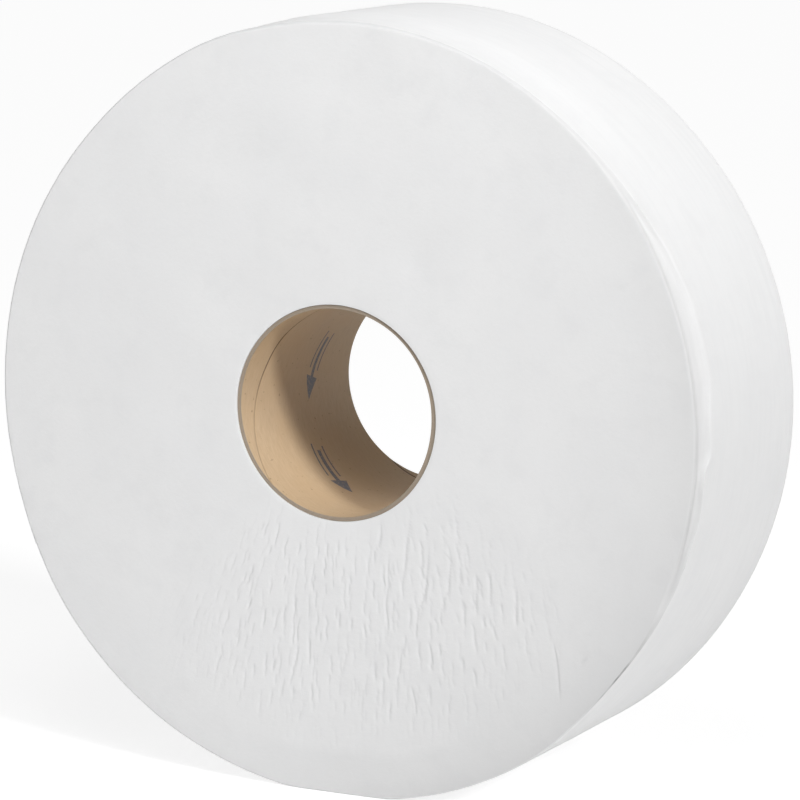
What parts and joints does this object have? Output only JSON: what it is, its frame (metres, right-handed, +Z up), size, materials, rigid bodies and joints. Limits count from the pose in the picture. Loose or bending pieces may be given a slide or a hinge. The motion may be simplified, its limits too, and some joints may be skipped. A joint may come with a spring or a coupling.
{
  "type": "toilet paper roll",
  "caption": "Jumbo toilet paper roll: a wide, short coil of white tissue wound on a brown cardboard core, standing on its rim.",
  "frame": {"origin": "on the roll's axis, halfway along the roll", "axes": "+Y along the core's bore, from the front end to the back end; +Z up, away from the flat spot; +X to the right as seen from the front"},
  "size_m": [0.3055, 0.09, 0.3037],
  "materials": {
    "tissue": "soft matt white tissue",
    "kraft_board": "unbleached kraft board, matt with a faint calendered sheen"
  },
  "bodies": {
    "root": {"paper_roll": "tissue", "core_tube": "kraft_board"}
  },
  "joints": []
}
